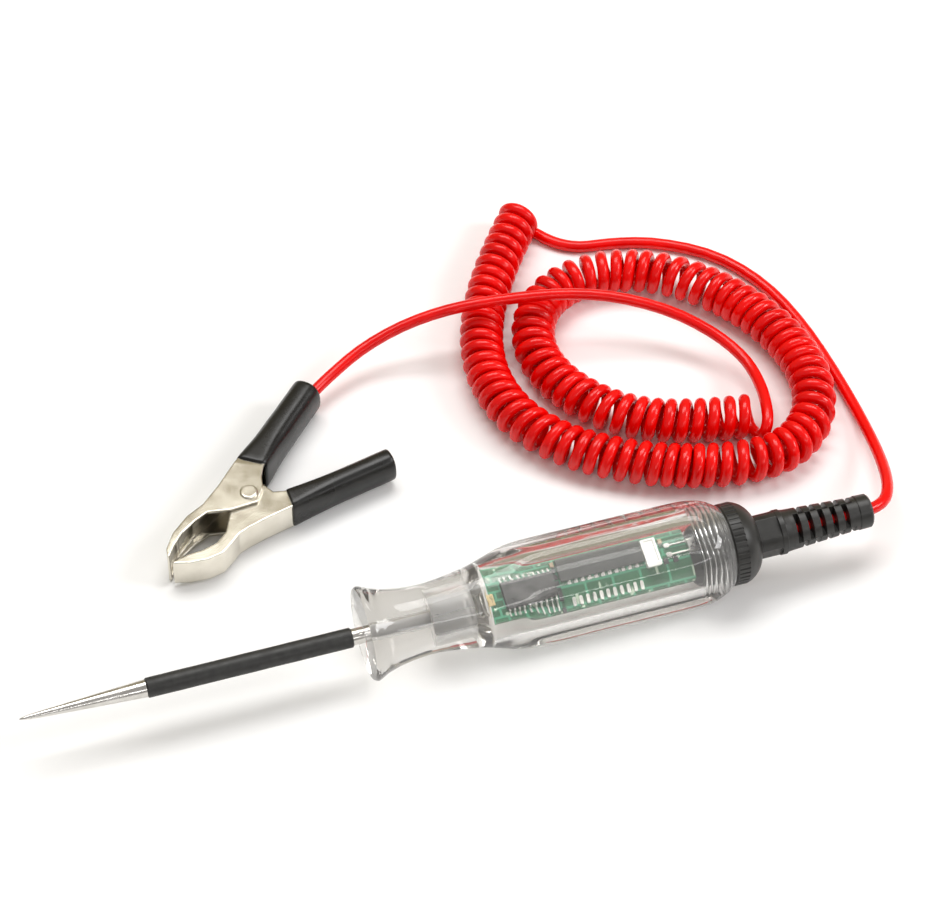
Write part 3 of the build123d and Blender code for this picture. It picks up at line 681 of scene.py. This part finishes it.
rings = [handle_ring(0, lambda angle, r=radius: r) for radius in (ROD_RADIUS, 5, 9, 11)]
outer_places = spread(0, 1.2, 0.2) + spread(1.6, 30, 0.9) + spread(31, 50, 0.7)
outer_places += spread(52, 80, 2.5) + spread(81.5, length, 0.6)
for along in outer_places:
    rings.append(handle_ring(along, lambda angle, a=along: outer_radius(a, angle)))
for along in reversed(spread(length - THREAD_LENGTH, length, THREAD_PITCH / 10)):
    rings.append(handle_ring(along, lambda angle, a=along: thread_radius(a, angle)))
chamber = [(place, CHAMBER_RADIUS) for place in (length - 9.3, length - 12, 60, 50, 40, chamber_x + 0.6)]
slope = [(chamber_x, 9.45), (chamber_x - 0.8, 8.7), (chamber_x - 3.4, 5.6), (chamber_x - 4.1, 5.05)]
spring_bore = [(place, SPRING_RADIUS) for place in (chamber_x - 5, chamber_x - 10, rod_bore_end + 0.2)]
rod_bore = [(rod_bore_end, 4.85), (rod_bore_end, 1.6), (rod_bore_end - 0.1, ROD_RADIUS), (8, ROD_RADIUS)]
for along, radius in chamber + slope + spring_bore + rod_bore:
    rings.append(handle_ring(along, lambda angle, r=radius: r))
handle = ring_mesh("clear_handle", rings, closed=True, sharp=42)
dress(handle, "handle", "clear_plastic", clear_plastic, "handle")
print("handle:", len(handle.data.polygons), "faces")

# %% The rougher bore
handle.data.materials.append(clear_bore)
bore_limit = face_x + (chamber_x - 0.5) * MM
for face in handle.data.polygons:
    middle = face.center
    off_axis = sqrt(middle.y ** 2 + (middle.z - axis_height) ** 2) / MM
    if off_axis < SPRING_RADIUS + 0.4 and face_x + 1 * MM < middle.x < bore_limit:
        face.material_index = 1
print("faces of the bore:", sum(face.material_index for face in handle.data.polygons))

# %% [markdown]
# ## The probe
# Turned from one bar: a needle point, a long even taper, and a shank that goes on as the rod inside
# the handle. The sleeve is shrunk over the shank, so its ends are soft and it is never quite straight
# in its gloss.


# %% Probe
def turned(name, profile, around=64, closed=False, sharp=38):
    """A turned piece on the tester's axis: the profile is (metres along, millimetres of radius)."""
    rings = []
    for along, radius in profile:
        rings.append([on_tester(along, radius * MM * cos(2 * pi * i / around),
                                radius * MM * sin(2 * pi * i / around)) for i in range(around)])
    return ring_mesh(name, rings, closed=closed, cap_ends=not closed, sharp=sharp)


tip_x, rod_tail_x = probe_low.x, probe_high.x
sleeve_low, sleeve_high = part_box("probe_sleeve")
sleeve_radius = (sleeve_high.z - sleeve_low.z) / 2 / MM
taper = [(tip_x + share * (sleeve_low.x - 0.0006 - tip_x), radius) for share, radius in (
    (0.0, 0.03), (0.004, 0.14), (0.015, 0.26), (0.04, 0.42), (0.092, 0.66), (0.2, 0.88),
    (0.4, 1.24), (0.6, 1.6), (0.8, 1.94), (1.0, 2.28))]
probe_profile = taper + [(sleeve_low.x - 0.0001, 2.3), (sleeve_low.x, 2.2), (sleeve_low.x, 2.0),
                         (sleeve_high.x, 2.0), (sleeve_high.x, 2.15), (face_x - 0.0001, 2.15),
                         (face_x - 0.0001, 1.5), (rod_tail_x - 0.0003, 1.5), (rod_tail_x, 1.2)]
probe = turned("probe", probe_profile)
dress(probe, "handle", "nickel_plate", turned_steel, "probe_rod")
print("probe:", round((rod_tail_x - tip_x) / MM, 1), "mm from its tip to its tail")

# %% Sleeve
skin = []
for share in spread(0, 1, 1 / 40):
    swell = 0.03 * noise.noise(Vector((share * 9, 0, 4)))
    skin.append((sleeve_low.x + (sleeve_high.x - sleeve_low.x) * share, sleeve_radius - 0.03 + swell))
skin[0] = (skin[0][0] + 0.0003, skin[0][1])
skin[-1] = (skin[-1][0] - 0.0003, skin[-1][1])
skin = ([(sleeve_low.x, 2.05), (sleeve_low.x, 2.3)] + skin
        + [(sleeve_high.x, 2.3), (sleeve_high.x, 2.05)])
sleeve = turned("sleeve", skin, closed=True)
dress(sleeve, "handle", "black_vinyl", sleeve_vinyl, "probe_sleeve")
print("sleeve radius", round(sleeve_radius, 2), "mm")

# %% [markdown]
# ## Vinyl grips
# Each grip is a flattened tube pushed over a folded steel arm, so its section is a rectangle with
# generous corners at the mouth and nearly round at the far end, which is open. The steel inside
# tapers to make room: a small node group narrows it about the grip's middle line. An arm's mesh has
# no points between its ends, so the taper has to be a straight one. The arms' edges are measured
# from the clip's rivet, on which the moving half turns.

# %% Rounded tubes over the arms
rivet_low, rivet_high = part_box("clip_rivet")
pivot = (rivet_low + rivet_high) / 2


def on_edge(edge, reach):
    """A place on an arm's edge: the edge is two places in millimetres from the rivet."""
    start, stop = [Vector((x, y, 0)) * MM for x, y in edge]
    return pivot + start + (stop - start).normalized() * reach * MM


def grip_rings(left_edge, left_reach, right_edge, right_reach, height, seed):
    """Rings of a rounded sleeve between two places on each of the arm's long edges."""
    rings = []
    cover, around = 0.58, 64
    stations = [(0.0, 0.93), (0.008, 0.985), (0.03, 1.0)] + [(s, 1.0) for s in spread(0.08, 0.92, 0.06)]
    stations += [(0.97, 1.0), (0.992, 0.985), (1.0, 0.93)]
    for share, fullness in stations:
        left = on_edge(left_edge, left_reach[0] + (left_reach[1] - left_reach[0]) * share)
        right = on_edge(right_edge, right_reach[0] + (right_reach[1] - right_reach[0]) * share)
        middle, half = (left + right) / 2, (left - right) / 2
        outward = half.normalized()
        squareness = 2.45 + 3.3 * (1 - share) ** 6
        wobble = noise.noise(Vector((share * 5, seed, 0)))
        wide = (half.length / MM + cover) * (1 + 0.025 * wobble) * MM
        tall = (height / 2 + cover) * MM
        ring = []
        for step in range(around):
            angle = 2 * pi * step / around
            c, s = cos(angle), sin(angle)
            reach = (abs(c) ** squareness + abs(s) ** squareness) ** (-1 / squareness)
            reach *= 1 - (1 - fullness) * 0.9
            ring.append(middle + outward * wide * c * reach + Vector((0, 0, tall * s * reach)))
        rings.append(ring)
    return rings


def hollow(rings, wall):
    """The same rings with an inner skin, joined round both open ends."""
    inner_rings = []
    for ring in reversed(rings):
        centre = sum(ring, Vector()) / len(ring)
        inner_rings.append([place + (centre - place).normalized() * wall * MM for place in ring])
    return rings + inner_rings


# %% The two grips
def height_of(node_name):
    """The height of a part, in millimetres."""
    low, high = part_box(node_name)
    return (high.z - low.z) / MM


GRIP_WALL = 0.5
outer_height, inner_height = height_of("clip_outer_half"), height_of("clip_inner_half")
fixed_rings = grip_rings(((-1.0, 11.0), (20.0, 32.4)), (1.7, 32.7),
                         ((6.0, 7.6), (25.2, 27.5)), (0.5, 30.5), outer_height, 1.0)
fixed_grip = ring_mesh("grip_on_fixed_arm", hollow(fixed_rings, GRIP_WALL), closed=True, sharp=50)
dress(fixed_grip, "rear_unit", "black_vinyl", black_vinyl, "grip_fixed")
moving_rings = grip_rings(((9.2, -1.5), (36.4, 4.6)), (0.4, 30.0),
                          ((9.4, -7.2), (37.6, -0.9)), (0.4, 30.9), inner_height, 2.0)
moving_grip = ring_mesh("grip_on_moving_arm", hollow(moving_rings, GRIP_WALL), closed=True, sharp=50)
dress(moving_grip, "clip_jaw", "black_vinyl", black_vinyl, "grip_moving")
print("grips:", fixed_grip.name, moving_grip.name)


# %% Arms that taper inside the grips
def taper_arm(node_name, rings, share):
    """Narrow a clip half's arm evenly from the grip's mouth to its far end."""
    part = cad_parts[node_name]
    mouth = sum(rings[0], Vector()) / len(rings[0])
    far = sum(rings[-1], Vector()) / len(rings[-1])
    along = (far - mouth).normalized()
    tree = bpy.data.node_groups.new("taper_" + node_name, "GeometryNodeTree")
    tree.interface.new_socket("Geometry", in_out="INPUT", socket_type="NodeSocketGeometry")
    tree.interface.new_socket("Geometry", in_out="OUTPUT", socket_type="NodeSocketGeometry")
    nodes, links = tree.nodes, tree.links
    start, stop = nodes.new("NodeGroupInput"), nodes.new("NodeGroupOutput")
    place = nodes.new("GeometryNodeInputPosition")
    offset, run, drop, spoke, inward = [nodes.new("ShaderNodeVectorMath") for _ in range(5)]
    offset.operation, run.operation, drop.operation = "SUBTRACT", "DOT_PRODUCT", "SCALE"
    spoke.operation, inward.operation = "SUBTRACT", "SCALE"
    offset.inputs[1].default_value = mouth
    run.inputs[1].default_value = along
    drop.inputs[0].default_value = along
    narrow = nodes.new("ShaderNodeMapRange")
    narrow.inputs["From Max"].default_value = (far - mouth).length
    narrow.inputs["To Max"].default_value = -share
    move = nodes.new("GeometryNodeSetPosition")
    links.new(place.outputs["Position"], offset.inputs[0])
    links.new(offset.outputs["Vector"], run.inputs[0])
    links.new(run.outputs["Value"], drop.inputs["Scale"])
    links.new(offset.outputs["Vector"], spoke.inputs[0])
    links.new(drop.outputs["Vector"], spoke.inputs[1])
    links.new(run.outputs["Value"], narrow.inputs["Value"])
    links.new(spoke.outputs["Vector"], inward.inputs[0])
    links.new(narrow.outputs["Result"], inward.inputs["Scale"])
    links.new(start.outputs["Geometry"], move.inputs["Geometry"])
    links.new(inward.outputs["Vector"], move.inputs["Offset"])
    links.new(move.outputs["Geometry"], stop.inputs["Geometry"])
    part.modifiers.new("taper", "NODES").node_group = tree


ARM_TAPER = 0.42
taper_arm("clip_outer_half", fixed_rings, ARM_TAPER)
taper_arm("clip_inner_half", moving_rings, ARM_TAPER)
print("arms tapered by", ARM_TAPER, "at their far ends")

# %% [markdown]
# ## Finishes on the parts from the model
# The parts whose shape is already right keep it, and take their finish here. The finish goes into
# the part's own material slots, so nothing about its mesh changes. Folded sheet has no sharp bends,
# so the two halves of the clip also get a small bevel, as a modifier.

# %% Soft bends
for name in ("clip_outer_half", "clip_inner_half"):
    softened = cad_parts[name].modifiers.new("softened_bends", "BEVEL")
    softened.width, softened.segments = 0.3 * MM, 3
    softened.limit_method, softened.angle_limit = "ANGLE", radians(40)
    print(name, "bevelled by", round(softened.width / MM, 2), "mm")

# %% Finishes by part
part_finishes = {
    "rod_collar": turned_steel, "front_contact_spring": spring_steel, "contact_disc": brass,
    "circuit_board": board_green, "chip_body": chip_black, "chip_leads": tinned,
    "lcd_tray": tray_white, "lcd_glass": display_glass, "lcd_pins": tinned,
    "backlight_strip": white_plastic, "resistors": resistor_black, "capacitors": tan_ceramic,
    "tinned_leads": tinned, "solder_pads": tinned, "solder_blob": tinned,
    "bared_conductor": tinned, "cord_inner_end": red, "strain_relief": black_plastic,
    "end_cap": black_plastic, "cord_clip_end": red, "clip_ferrule": brass,
    "clip_outer_half": nickel, "clip_inner_half": nickel, "clip_rivet": nickel,
    "clip_spring": spring_steel,
}
for name, material in part_finishes.items():
    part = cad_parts[name]
    for slot in part.material_slots:
        slot.link = "OBJECT"
        slot.material = material
print("parts with a finish:", len(part_finishes))

# %% [markdown]
# ## What is shown is set against the model's box, and its growth at the top corner is printed, so
# that a piece that has grown out of the model shows.
# The two boxes are written side by side, so that a piece that has grown out of the model shows.

# %% Write the sizes and finish
shown_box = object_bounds()
grown = [round((b - a) / MM, 2) for a, b in zip(cad_box[1], shown_box[1])]
print("grown by", grown, "mm at the top corner")
